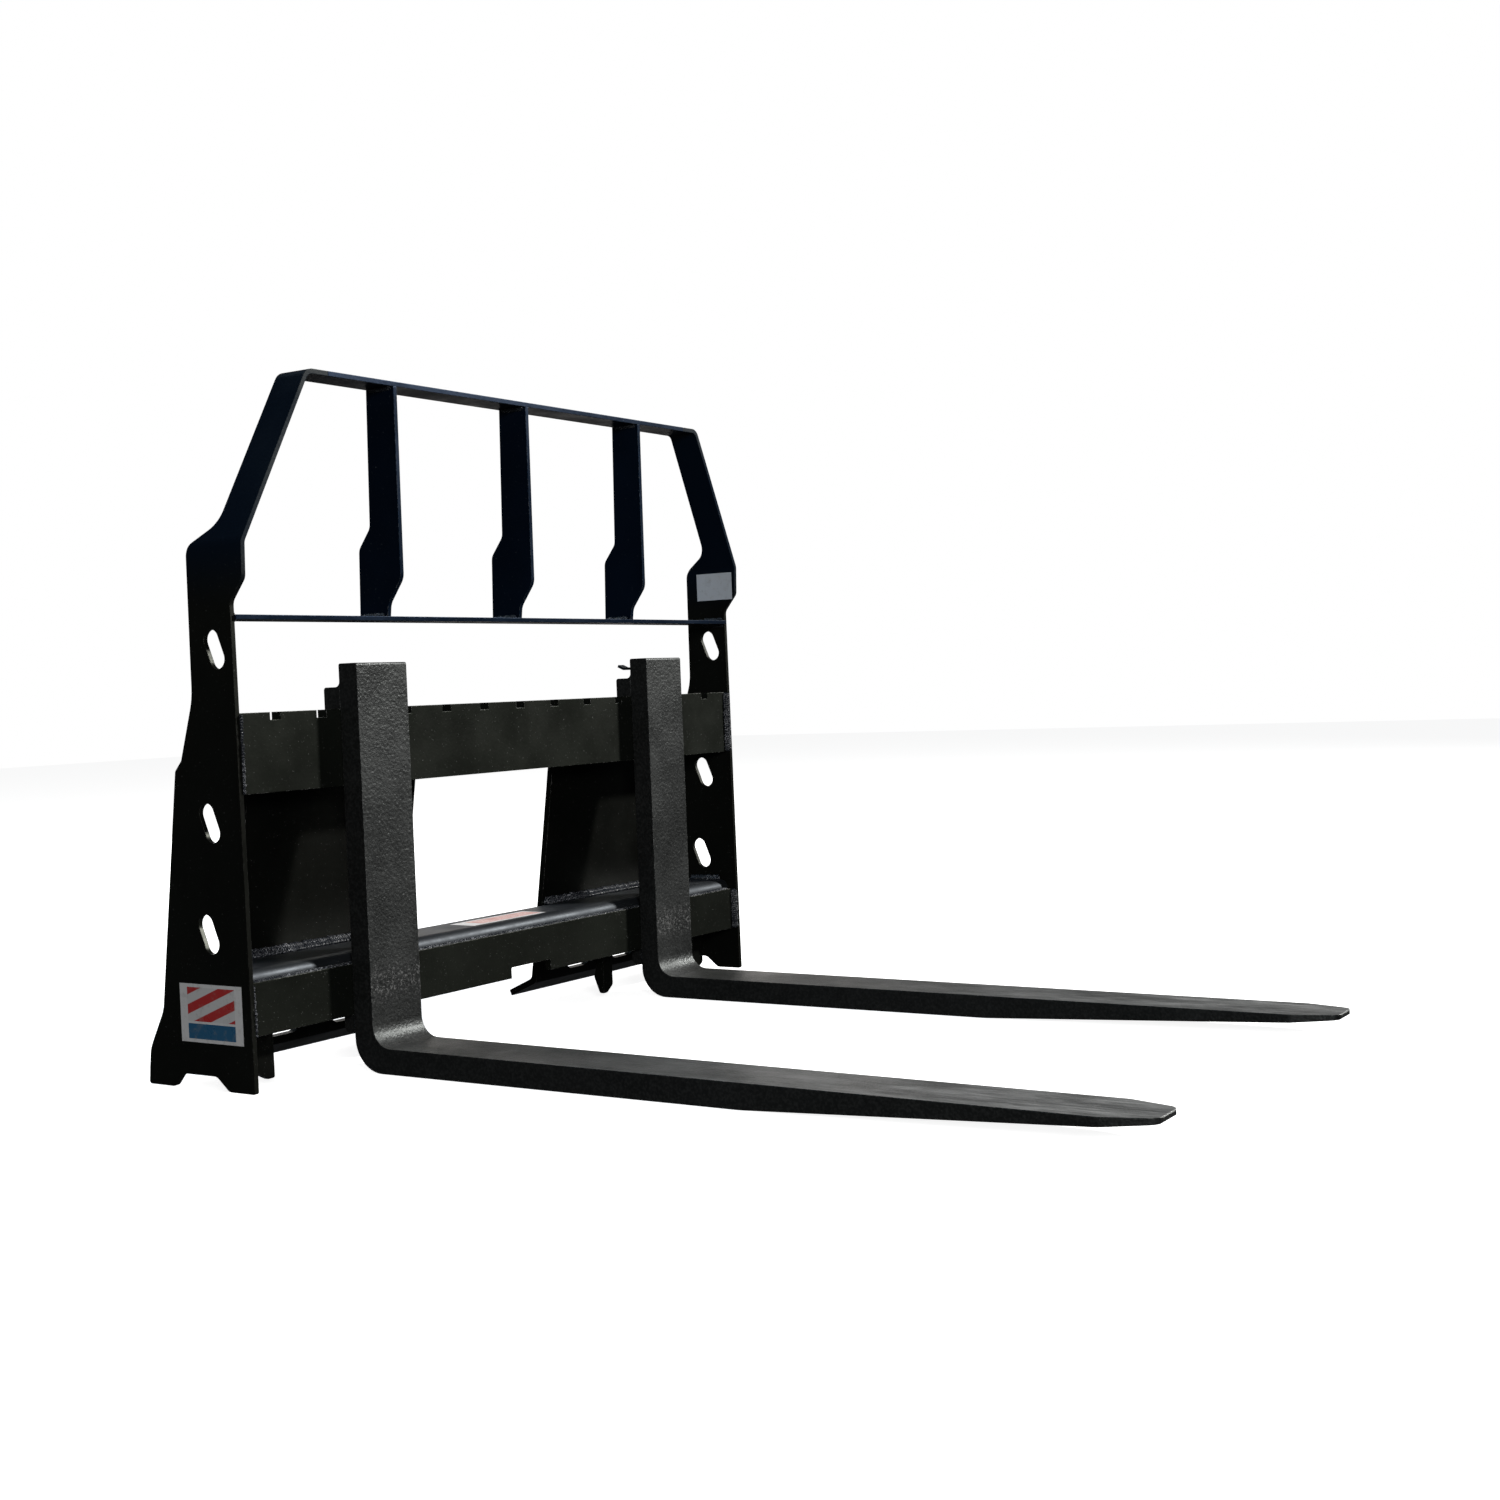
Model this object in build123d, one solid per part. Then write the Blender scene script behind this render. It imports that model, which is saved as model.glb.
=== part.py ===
from build123d import *
import os
from math import cos, hypot, radians, sin

# Pallet fork attachment for a skid-steer loader: a welded carriage with a load guard,
# two hook-on forks that slide along the carriage, and a spring latch in each fork.
# All sizes are in millimetres. X runs across the carriage, the forks reach towards -Y,
# Z is up, and the origin is the bottom centre of the whole attachment.
# Inside this file depth (Y) is measured from the front face of the upper fork rail,
# and every part is moved by RAIL_FRONT_Y when it is written.

# ---- carriage ----
PLATE = 6.4                  # side plates, uprights and the guard's top bar
WIDTH = 1120.0               # outside faces of the side plates
INNER = WIDTH / 2 - PLATE    # inside face of a side plate
FOOT_Z = 6.0                 # underside of the feet; the forks carry the weight
REAR_FOOT_Y = 187.0
PLATE_FRONT_Y = -8.0
PLATE_LEAN = 4.0             # the front edge stands this much further back under the guard

# ---- fork rails, hook-on class 2A ----
RAIL_TOP_Z = 483.0
RAIL_HEIGHT = 102.0
RAIL_THICK = 16.0
NOTCH_PITCH = 81.5
NOTCH_COUNT = 13
NOTCH_WIDTH = 18.0
NOTCH_DEPTH = 10.0
LOW_BAR_BOTTOM_Z = 76.0
LOW_BAR_HEIGHT = 68.0
LOW_BAR_THICK = 10.0
REMOVAL_GAP_HALF = 46.0
REMOVAL_GAP_DEPTH = 16.0
REMOVAL_GAP_RADIUS = 2.0

# ---- lower tube ----
TUBE_HEIGHT = 64.0
TUBE_DEPTH = 94.0
TUBE_WALL = 6.0
TUBE_RADIUS = 15.0
TUBE_BOTTOM_Z = 95.0
TUBE_TOP_Z = TUBE_BOTTOM_Z + TUBE_HEIGHT

# ---- load guard ----
GUARD_TOP_Z = 920.0
GUARD_TOP_HALF = 443.0       # outside corner of the bent-over side plates
GUARD_JOINT_X = 404.0        # where the top bar is welded to the side plates
SHOULDER_Z = 697.0
BEND_RADIUS = 12.0
GUARD_FRONT_Y = -36.0
GUARD_REAR_Y = 14.0
GUARD_BAR_TOP_Z = 606.0
GUARD_BAR_THICK = 6.0
GUARD_BAR_FRONT_Y = -7.5
GUARD_BAR_REAR_Y = 44.0
UPRIGHT_SPACING = 279.5

# ---- hitch plates ----
HITCH_INNER_X = 158.0
HITCH_THICK = 9.5
HITCH_BEND_RADIUS = 8.0
HITCH_TOP = (57.0, 462.0)    # (Y, Z) of the front face at the upper lip
HITCH_LIP = (89.0, 449.5)
HITCH_KNEE = (122.0, 33.0)   # bend between the main plate and the lower flange
HITCH_TOE = (173.0, 10.0)
HITCH_RELIEF_X = 478.0       # between these heights the plate stops short of the side plate
HITCH_RELIEF_Z = (166.0, 390.0)
HITCH_RELIEF_RADIUS = 20.0
LOCK_SLOT_LENGTH = 60.0
LOCK_SLOT_WIDTH = 26.0
LOCK_SLOT_X = (266.0, 387.0)
LOCK_SLOT_Z = 57.0
INNER_BRACKET = (240.0, 24.0)    # (centre X, width)
OUTER_BRACKET = (496.0, 30.0)
BRACKET_FRONT_Y = 40.0
BRACKET_TIP_Z = 9.0
BRACKET_SLANT = 12.0
SPACER_X = (200.0, 500.0)
SPACER_WIDTH = 12.0

# ---- forks ----
FORK_WIDTH = 95.0
FORK_THICK = 32.5
FORK_GAP = 0.5               # running clearance between fork and rails
FORK_BACK_Y = -FORK_GAP
FORK_FRONT_Y = FORK_BACK_Y - FORK_THICK
BLADE_LENGTH = 1080.0
TIP_Y = FORK_FRONT_Y - BLADE_LENGTH
SHANK_TOP_Z = 543.0
BLADE_TOP_Z = 34.0
BLADE_TIP_TOP_Z = 31.0
TAPER_START_Y = -607.0
TIP_BOTTOM_Z = 20.0
NOSE_Z = 24.0
HEEL_RADIUS = 45.0
INNER_HEEL_RADIUS = 28.0
NOSE_HALF = 29.0
NOSE_LENGTH = 62.0
NOSE_RADIUS = 16.0
FORK_NOTCH = 4               # each fork rests on the fourth notch from the centre

# ---- fork hooks ----
HOOK_TOP_Z = 512.0
HOOK_REAR_Y = 28.0
HOOK_CLAW_Z = 470.0
HOOK_WELD_RADIUS = 7.5
LOW_HOOK_WIDTH = 86.0
LOW_HOOK_BOTTOM_Z = 50.0
LOW_HOOK_TOP_Z = 91.0
LOW_HOOK_REAR_Y = 22.0

# ---- latch ----
LATCH_Y = 9.0
LATCH_TRAVEL = 10.0
PIN_RADIUS = 8.0
STEM_RADIUS = 4.5
FIT = 0.05                   # radial running clearance
PIN_BOTTOM_Z = 484.5         # raised, clear of the rail
PIN_HEAD_HEIGHT = 10.0
BUSH_HEIGHT = 6.0
SPRING_WIRE = 1.8
SPRING_RADIUS = 6.4
SPRING_TURNS = 3.0
HANDLE_Z = 526.0
HANDLE_THICK = 4.0
HANDLE_WIDTH = 15.0
HANDLE_REACH = 46.0
HANDLE_BEND = 12.0
HANDLE_BEND_ANGLE = 24.0
CAP_RADIUS = 6.5
COLLAR_GAP = 0.3             # left between the collar and the hook when the pin is down
CAP_HEIGHT = 2.5

# ---- side plate slots, with their centres as (Y, Z) ----
SLOT_LENGTH = 52.0
SLOT_WIDTH = 26.0
SLOT_TILT = 22.0             # degrees from upright, top to the rear
SIDE_SLOTS = ((62.0, 205.0), (51.0, 346.0), (28.0, 564.0))

# ---- labels ----
LABEL_THICK = 0.2
SIDE_LABEL = (8.0, 121.0, 66.0, 141.0)      # Y from, to; Z from, to
RATING_LABEL = (-22.0, 50.0, 642.0, 688.0)  # Y from, to; Z from, to
TUBE_LABEL = (-95.0, 72.0, 27.0, 73.0)      # X from, to; Y from, to

CUT = 5.0                    # how far a cutter passes beyond the metal

RAIL_FRONT_Y = (-TIP_Y - REAR_FOOT_Y) / 2


# ---------------------------------------------------------------- helpers

def write(node, shape):
    """Move a part from the rail datum to the attachment's origin and write it."""
    export_step(Pos(0, RAIL_FRONT_Y, 0) * shape, f"parts/{node}.step")


def mirror_x(shape):
    return mirror(shape, about=Plane.YZ)


def block(x0, x1, y0, y1, z0, z1):
    size = Box(x1 - x0, y1 - y0, z1 - z0)
    return Pos((x0 + x1) / 2, (y0 + y1) / 2, (z0 + z1) / 2) * size


def rounded_outline(corners):
    """A closed face from (u, v, radius) corners; a radius of 0 leaves the corner sharp."""
    face = make_face(Polyline([(u, v) for u, v, _ in corners], close=True))
    for u, v, radius in corners:
        if radius > 0:
            corner = face.vertices().sort_by_distance((u, v, 0))[0]
            face = fillet(corner, radius)
    return face


def offset_path(path, distance):
    """The path moved sideways, to its left, with mitred corners."""
    moved = []
    for i, (u, v) in enumerate(path):
        before = path[max(i - 1, 0)]
        after = path[min(i + 1, len(path) - 1)]
        first = unit(u - before[0], v - before[1])
        second = unit(after[0] - u, after[1] - v)
        if i == 0:
            first = second
        if i == len(path) - 1:
            second = first
        normal = unit(-first[1] - second[1], first[0] + second[0])
        mitre = distance / (normal[0] * -first[1] + normal[1] * first[0])
        moved.append((u + normal[0] * mitre, v + normal[1] * mitre))
    return moved


def unit(du, dv):
    length = hypot(du, dv)
    if length == 0:
        return (0.0, 0.0)
    return (du / length, dv / length)


def folded_strip(path, thickness, inner_radius):
    """The section of a bent plate. The path is the outside of its bends, the metal is left of it."""
    inner = offset_path(path, thickness)
    last = len(path) - 1
    outside = [(u, v, inner_radius + thickness if 0 < i < last else 0) for i, (u, v) in enumerate(path)]
    inside = [(u, v, inner_radius if 0 < i < last else 0) for i, (u, v) in enumerate(inner)]
    return rounded_outline(outside + inside[::-1])


def across(face, x0, x1):
    """Extrude a (Y, Z) outline from x0 to x1."""
    return extrude(Plane.YZ.offset(x0) * face, x1 - x0)


def side_slot(centre):
    """A cutter for one slanted long hole through a side plate."""
    outline = Pos(*centre) * Rot(0, 0, 90 - SLOT_TILT) * SlotOverall(SLOT_LENGTH, SLOT_WIDTH)
    return across(outline, INNER - CUT, WIDTH / 2 + CUT)


# ---------------------------------------------------------------- carriage

def side_plate():
    """Right side plate: feet, slanted slots, shoulder bend and the bend into the guard's top bar."""
    path = [
        (WIDTH / 2, 0),
        (WIDTH / 2, SHOULDER_Z),
        (GUARD_TOP_HALF, GUARD_TOP_Z),
        (GUARD_JOINT_X, GUARD_TOP_Z),
    ]
    strip = folded_strip(path, PLATE, BEND_RADIUS)
    folded = extrude(Plane.XZ * strip, WIDTH / 2, both=True)
    above = GUARD_TOP_Z + CUT
    outline = rounded_outline([
        (PLATE_FRONT_Y, FOOT_Z, 3),
        (38, FOOT_Z, 12),
        (60, 24, 12),
        (122, 24, 12),
        (138, FOOT_Z, 10),
        (REAR_FOOT_Y, FOOT_Z, 4),
        (182, 52, 40),
        (154, 103, 40),
        (110, 412, 6),
        (98, 425, 6),
        (72.5, 503, 90),
        (71, 693, 21),
        (24, 722, 30),
        (GUARD_REAR_Y, above, 0),
        (GUARD_FRONT_Y, above, 0),
        (-27, 650, 14),
        (PLATE_FRONT_Y + PLATE_LEAN, 622, 14),
    ])
    plate = folded & across(outline, 0, WIDTH)
    for centre in SIDE_SLOTS:
        plate -= side_slot(centre)
    return plate


def guard_top_bar():
    return block(-GUARD_JOINT_X, GUARD_JOINT_X, GUARD_FRONT_Y, GUARD_REAR_Y, GUARD_TOP_Z - PLATE, GUARD_TOP_Z)


def guard_lower_bar():
    return block(-INNER, INNER, GUARD_BAR_FRONT_Y, GUARD_BAR_REAR_Y,
                 GUARD_BAR_TOP_Z - GUARD_BAR_THICK, GUARD_BAR_TOP_Z)


def guard_upright(x):
    """An upright whose upper part stands further forward than its foot."""
    outline = rounded_outline([
        (GUARD_BAR_FRONT_Y, GUARD_BAR_TOP_Z, 0),
        (GUARD_BAR_REAR_Y - 1, GUARD_BAR_TOP_Z, 0),
        (GUARD_BAR_REAR_Y - 4, 699, 16),
        (18.5, 727, 16),
        (GUARD_REAR_Y, GUARD_TOP_Z - PLATE, 0),
        (GUARD_FRONT_Y, GUARD_TOP_Z - PLATE, 0),
        (-34, 656, 22),
        (GUARD_BAR_FRONT_Y - 2, 623, 22),
    ])
    return across(outline, x - PLATE / 2, x + PLATE / 2)


def fork_rail():
    """Upper rail with square latch notches along its top edge."""
    rail = block(-INNER, INNER, 0, RAIL_THICK, RAIL_TOP_Z - RAIL_HEIGHT, RAIL_TOP_Z)
    for i in range(NOTCH_COUNT):
        x = (i - (NOTCH_COUNT - 1) / 2) * NOTCH_PITCH
        rail -= block(x - NOTCH_WIDTH / 2, x + NOTCH_WIDTH / 2, -CUT, RAIL_THICK + CUT,
                      RAIL_TOP_Z - NOTCH_DEPTH, RAIL_TOP_Z + CUT)
    return rail


def lower_front_bar():
    """Lower rail; the gap in its bottom edge lets a fork's lower hook pass."""
    bar = block(-INNER, INNER, 0, LOW_BAR_THICK, LOW_BAR_BOTTOM_Z, LOW_BAR_BOTTOM_Z + LOW_BAR_HEIGHT)
    gap_top = LOW_BAR_BOTTOM_Z + REMOVAL_GAP_DEPTH
    gap = block(-REMOVAL_GAP_HALF, REMOVAL_GAP_HALF, -CUT, LOW_BAR_THICK + CUT, LOW_BAR_BOTTOM_Z - CUT, gap_top)
    gap = fillet(gap.edges().filter_by(Axis.Y).group_by(Axis.Z)[-1], REMOVAL_GAP_RADIUS)
    return bar - gap


def lower_tube():
    """Rectangular hollow section behind the lower rail."""
    centre_y = LOW_BAR_THICK + TUBE_DEPTH / 2
    centre_z = TUBE_BOTTOM_Z + TUBE_HEIGHT / 2
    outside = RectangleRounded(TUBE_DEPTH, TUBE_HEIGHT, TUBE_RADIUS)
    inside = RectangleRounded(TUBE_DEPTH - 2 * TUBE_WALL, TUBE_HEIGHT - 2 * TUBE_WALL, TUBE_RADIUS - TUBE_WALL)
    return across(Pos(centre_y, centre_z) * (outside - inside), -INNER, INNER)


# ---------------------------------------------------------------- hitch

def hitch_plate():
    """Right hitch plate: lip, inclined main plate with two lock slots and an open outer edge, lower flange."""
    section = folded_strip([HITCH_TOE, HITCH_KNEE, HITCH_TOP, HITCH_LIP], -HITCH_THICK, HITCH_BEND_RADIUS)
    plate = across(section, HITCH_INNER_X, INNER)
    lean, rise = unit(HITCH_TOP[0] - HITCH_KNEE[0], HITCH_TOP[1] - HITCH_KNEE[1])
    for x in LOCK_SLOT_X:
        face = Plane(origin=(x, hitch_face_y(LOCK_SLOT_Z), LOCK_SLOT_Z), x_dir=(1, 0, 0), z_dir=(0, rise, -lean))
        plate -= extrude(face * SlotOverall(LOCK_SLOT_LENGTH, LOCK_SLOT_WIDTH), HITCH_THICK + CUT, both=True)
    low, high = HITCH_RELIEF_Z
    relief = block(HITCH_RELIEF_X, INNER + CUT, 0, HITCH_TOE[0], low, high)
    inner_corners = relief.edges().filter_by(Axis.Y).group_by(Axis.X)[0]
    return plate - fillet(inner_corners, HITCH_RELIEF_RADIUS)


def hitch_face_y(z):
    """Depth of the hitch plate's front face at a height."""
    share = (z - HITCH_KNEE[1]) / (HITCH_TOP[1] - HITCH_KNEE[1])
    return HITCH_KNEE[0] + share * (HITCH_TOP[0] - HITCH_KNEE[0])


def hitch_bracket(centre_x, width):
    """Right-hand lug under the tube; its tip leans to the carriage's middle and its web meets the hitch plate."""
    rear = TUBE_BOTTOM_Z - 15
    profile = rounded_outline([
        (BRACKET_FRONT_Y, TUBE_BOTTOM_Z, 0),
        (BRACKET_FRONT_Y, BRACKET_TIP_Z, 3),
        (BRACKET_FRONT_Y + 8, BRACKET_TIP_Z, 3),
        (BRACKET_FRONT_Y + 19, 36, 10),
        (BRACKET_FRONT_Y + 11, 58, 8),
        (hitch_face_y(rear), rear, 0),
        (hitch_face_y(TUBE_BOTTOM_Z), TUBE_BOTTOM_Z, 0),
    ])
    front = rounded_outline([
        (centre_x - width / 2, TUBE_BOTTOM_Z, 0),
        (centre_x - width / 2, BRACKET_TIP_Z, 3),
        (centre_x - width / 6, BRACKET_TIP_Z, 6),
        (centre_x + width / 2, BRACKET_TIP_Z + BRACKET_SLANT, 6),
        (centre_x + width / 2, TUBE_BOTTOM_Z, 0),
    ])
    lug = across(profile, centre_x - width / 2, centre_x + width / 2)
    return lug & extrude(Plane.XZ * front, WIDTH / 2, both=True)


def rail_spacers():
    """Webs that tie the upper rail to one hitch plate."""
    bottom = RAIL_TOP_Z - RAIL_HEIGHT + 4
    top = HITCH_TOP[1] - 14
    outline = make_face(Polyline([
        (RAIL_THICK, bottom),
        (hitch_face_y(bottom), bottom),
        (hitch_face_y(top), top),
        (RAIL_THICK, top),
    ], close=True))
    return Compound(children=[
        across(outline, x - SPACER_WIDTH / 2, x + SPACER_WIDTH / 2) for x in SPACER_X
    ])


# ---------------------------------------------------------------- fork

def fork_outline():
    """Side view of the fork: shank, rounded heel and a blade tapered from below."""
    return rounded_outline([
        (FORK_BACK_Y, SHANK_TOP_Z, 3),
        (FORK_FRONT_Y, SHANK_TOP_Z, 3),
        (FORK_FRONT_Y, BLADE_TOP_Z, INNER_HEEL_RADIUS),
        (TIP_Y, BLADE_TIP_TOP_Z, 2),
        (TIP_Y, NOSE_Z, 2),
        (TIP_Y + NOSE_LENGTH, TIP_BOTTOM_Z, 30),
        (TAPER_START_Y, 0, 300),
        (FORK_BACK_Y, 0, HEEL_RADIUS),
    ])


def fork_plan():
    """Plan view of the fork, used to narrow its nose."""
    half = FORK_WIDTH / 2
    return rounded_outline([
        (-half, FORK_BACK_Y + 1, 0),
        (-half, TIP_Y + NOSE_LENGTH, 30),
        (-NOSE_HALF, TIP_Y, NOSE_RADIUS),
        (NOSE_HALF, TIP_Y, NOSE_RADIUS),
        (half, TIP_Y + NOSE_LENGTH, 30),
        (half, FORK_BACK_Y + 1, 0),
    ])


def fork_body():
    solid = across(fork_outline(), -FORK_WIDTH / 2, FORK_WIDTH / 2)
    solid &= extrude(Plane.XY.offset(-10) * fork_plan(), SHANK_TOP_Z + 20)
    return solid


def latch_bore(radius):
    return Pos(0, LATCH_Y, (HOOK_TOP_Z + HOOK_CLAW_Z) / 2) * Cylinder(radius, HOOK_TOP_Z - HOOK_CLAW_Z + 10)


def upper_hook():
    """Hook block over the upper rail, with the latch bore."""
    roof = RAIL_TOP_Z + FORK_GAP
    claw = RAIL_THICK + FORK_GAP
    body = rounded_outline([
        (FORK_BACK_Y, roof, 0),
        (claw, roof, 1),
        (claw, HOOK_CLAW_Z, 1.5),
        (HOOK_REAR_Y, HOOK_CLAW_Z, 4),
        (HOOK_REAR_Y, HOOK_TOP_Z, 4),
        (FORK_BACK_Y + HOOK_WELD_RADIUS, HOOK_TOP_Z, 0),
        (FORK_BACK_Y, HOOK_TOP_Z, 0),
    ])
    hook = across(body, -FORK_WIDTH / 2, FORK_WIDTH / 2)
    corner = block(-FORK_WIDTH / 2, FORK_WIDTH / 2, FORK_BACK_Y, FORK_BACK_Y + HOOK_WELD_RADIUS,
                   HOOK_TOP_Z, HOOK_TOP_Z + HOOK_WELD_RADIUS)
    round_cut = Pos(0, FORK_BACK_Y + HOOK_WELD_RADIUS, HOOK_TOP_Z + HOOK_WELD_RADIUS)
    hook += corner - round_cut * Rot(0, 90, 0) * Cylinder(HOOK_WELD_RADIUS, FORK_WIDTH + 10)
    return hook - latch_bore(PIN_RADIUS + FIT)


def lower_hook():
    """Hook that grips the lower rail from below."""
    floor = LOW_BAR_BOTTOM_Z - FORK_GAP
    claw = LOW_BAR_THICK + FORK_GAP
    outline = rounded_outline([
        (FORK_BACK_Y, floor, 0),
        (FORK_BACK_Y, LOW_HOOK_BOTTOM_Z, 0),
        (LOW_HOOK_REAR_Y, LOW_HOOK_BOTTOM_Z, 9),
        (LOW_HOOK_REAR_Y, LOW_HOOK_TOP_Z, 3),
        (claw, LOW_HOOK_TOP_Z, 2),
        (claw, floor, 1),
    ])
    return across(outline, -LOW_HOOK_WIDTH / 2, LOW_HOOK_WIDTH / 2)


def latch_pin():
    """Stepped latch pin with its riveted cap, raised out of the rail's notch."""
    stem_top = HANDLE_Z + HANDLE_THICK + 0.4
    head = Pos(0, LATCH_Y, PIN_BOTTOM_Z + PIN_HEAD_HEIGHT / 2) * Cylinder(PIN_RADIUS, PIN_HEAD_HEIGHT)
    head = chamfer(head.edges().group_by(Axis.Z)[0], 1.5)
    stem_height = stem_top - PIN_BOTTOM_Z
    stem = Pos(0, LATCH_Y, PIN_BOTTOM_Z + stem_height / 2) * Cylinder(STEM_RADIUS, stem_height)
    collar_height = HANDLE_Z - 0.4 - (HOOK_TOP_Z + LATCH_TRAVEL + COLLAR_GAP)
    collar = Pos(0, LATCH_Y, HANDLE_Z - 0.4 - collar_height / 2) * Cylinder(CAP_RADIUS, collar_height)
    cap = Pos(0, LATCH_Y, stem_top + CAP_HEIGHT / 2) * Cylinder(CAP_RADIUS, CAP_HEIGHT)
    cap = fillet(cap.edges().group_by(Axis.Z)[-1], 1.2)
    return head + stem + collar + cap


def latch_bush():
    """Bush in the top of the bore that holds the spring and guides the stem."""
    ring = Cylinder(PIN_RADIUS + FIT, BUSH_HEIGHT) - Cylinder(STEM_RADIUS + FIT, BUSH_HEIGHT + 2)
    return Pos(0, LATCH_Y, HOOK_TOP_Z - BUSH_HEIGHT / 2) * ring


def latch_spring():
    """Compression spring between the pin's head and the bush."""
    low = PIN_BOTTOM_Z + PIN_HEAD_HEIGHT + SPRING_WIRE / 2 + 0.3
    high = HOOK_TOP_Z - BUSH_HEIGHT - SPRING_WIRE / 2 - 0.3
    path = Helix((high - low) / SPRING_TURNS, high - low, SPRING_RADIUS, center=(0, LATCH_Y, low))
    section = Plane(origin=path @ 0, z_dir=path % 0) * Circle(SPRING_WIRE / 2)
    return sweep(section, path)


def latch_handle(angle):
    """Thumb lever on the stem, with its end bent up, turned to an angle about the pin."""
    flat = HANDLE_REACH - HANDLE_BEND
    slope = radians(HANDLE_BEND_ANGLE)
    tip = (flat + HANDLE_BEND * cos(slope), HANDLE_BEND * sin(slope))
    section = folded_strip([(0, 0), (flat, 0), tip], HANDLE_THICK, 2)
    arm = extrude(Plane.XZ.offset(-HANDLE_WIDTH / 2) * section, HANDLE_WIDTH)
    hub = Pos(0, 0, HANDLE_THICK / 2) * Cylinder(HANDLE_WIDTH / 2, HANDLE_THICK)
    hole = Cylinder(STEM_RADIUS + FIT, 40)
    return Pos(0, LATCH_Y, HANDLE_Z) * Rot(0, 0, angle) * (arm + hub - hole)


# ---------------------------------------------------------------- labels

def side_label():
    """Blank label on the outside of the left side plate."""
    return block(-WIDTH / 2 - LABEL_THICK, -WIDTH / 2, *SIDE_LABEL)


def rating_label():
    """Blank label on the inside of the right side plate."""
    return block(INNER - LABEL_THICK, INNER, *RATING_LABEL)


def tube_label():
    """Blank label on top of the lower tube."""
    return block(*TUBE_LABEL, TUBE_TOP_Z, TUBE_TOP_Z + LABEL_THICK)


# ---------------------------------------------------------------- assembly

def write_carriage():
    plate = side_plate()
    write("side_plate_right", plate)
    write("side_plate_left", mirror_x(plate))
    write("guard_top_bar", guard_top_bar())
    write("guard_lower_bar", guard_lower_bar())
    for name, x in (("left", -UPRIGHT_SPACING), ("centre", 0), ("right", UPRIGHT_SPACING)):
        write(f"guard_upright_{name}", guard_upright(x))
    write("fork_rail", fork_rail())
    write("lower_front_bar", lower_front_bar())
    write("lower_tube", lower_tube())


def write_hitch():
    plate = hitch_plate()
    spacers = rail_spacers()
    write("hitch_plate_right", plate)
    write("hitch_plate_left", mirror_x(plate))
    write("rail_spacers_right", spacers)
    write("rail_spacers_left", mirror_x(spacers))
    for place, size in (("inner", INNER_BRACKET), ("outer", OUTER_BRACKET)):
        bracket = hitch_bracket(*size)
        write(f"hitch_bracket_{place}_right", bracket)
        write(f"hitch_bracket_{place}_left", mirror_x(bracket))


def write_fork(side, x, handle_angle):
    """One fork with its hooks and its latch, centred at x."""
    pieces = {
        f"fork_{side}": fork_body(),
        f"upper_hook_{side}": upper_hook(),
        f"lower_hook_{side}": lower_hook(),
        f"latch_pin_{side}": latch_pin(),
        f"latch_bush_{side}": latch_bush(),
        f"latch_spring_{side}": latch_spring(),
        f"latch_handle_{side}": latch_handle(handle_angle),
    }
    for node, shape in pieces.items():
        write(node, Pos(x, 0, 0) * shape)


def write_labels():
    write("label_side", side_label())
    write("label_rating", rating_label())
    write("label_tube", tube_label())


os.makedirs("parts", exist_ok=True)
write_carriage()
write_hitch()
write_fork("left", -FORK_NOTCH * NOTCH_PITCH, 0)
write_fork("right", FORK_NOTCH * NOTCH_PITCH, 90)
write_labels()
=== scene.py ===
import bpy
import math
import random
from collections import namedtuple
from mathutils import Matrix, Vector


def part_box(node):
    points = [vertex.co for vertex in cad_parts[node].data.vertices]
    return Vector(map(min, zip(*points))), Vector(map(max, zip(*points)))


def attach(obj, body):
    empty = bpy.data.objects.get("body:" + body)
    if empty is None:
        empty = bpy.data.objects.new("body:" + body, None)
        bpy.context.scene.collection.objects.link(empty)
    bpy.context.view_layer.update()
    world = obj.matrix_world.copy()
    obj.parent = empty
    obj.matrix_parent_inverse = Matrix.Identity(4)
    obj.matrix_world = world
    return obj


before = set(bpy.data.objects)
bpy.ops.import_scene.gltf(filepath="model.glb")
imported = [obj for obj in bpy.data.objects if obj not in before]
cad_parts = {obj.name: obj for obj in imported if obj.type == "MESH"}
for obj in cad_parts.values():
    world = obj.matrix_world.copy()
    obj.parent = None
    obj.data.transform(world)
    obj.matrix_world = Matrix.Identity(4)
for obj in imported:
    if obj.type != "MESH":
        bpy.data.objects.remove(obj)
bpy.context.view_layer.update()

UP = Vector((0, 0, 1))
RIGHT = Vector((1, 0, 0))
REAR = Vector((0, 1, 0))
X, Y, Z = range(3)

# ---- places, in metres, read from the CAD frame ----
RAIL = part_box("fork_rail")
LOW_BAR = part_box("lower_front_bar")
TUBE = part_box("lower_tube")
GUARD_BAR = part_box("guard_lower_bar")
TOP_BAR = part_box("guard_top_bar")
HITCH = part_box("hitch_plate_right")
INNER_X = RAIL[1].x              # the rails end at the right side plate's inside face
RAIL_FRONT_Y = RAIL[0].y

# ---- places that no box gives ----
TUBE_RADIUS = 0.015              # rounding of the tube's edges
SHOULDER_HEIGHT = 0.697          # where the side plates bend inwards
HITCH_KNEE = (0.122, 0.033)      # hitch plate's front at its lower bend: depth behind the rail, height
HITCH_HEAD = (0.057, 0.462)      # the same at its upper lip
HITCH_DEPTH = 0.0098             # through the leaning hitch plate, front to rear

# ---- camera, from the view's own geometry ----
CAMERA_FROM_RAIL = Vector((-2.2536, -1.8484, 0.4932))
CAMERA_YAW = math.radians(-57.30)
CAMERA_PITCH = math.radians(-1.90)
CAMERA_ROLL = math.radians(-2.23)
CAMERA_LENS = 46.8
CAMERA_SENSOR = 36.0

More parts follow.
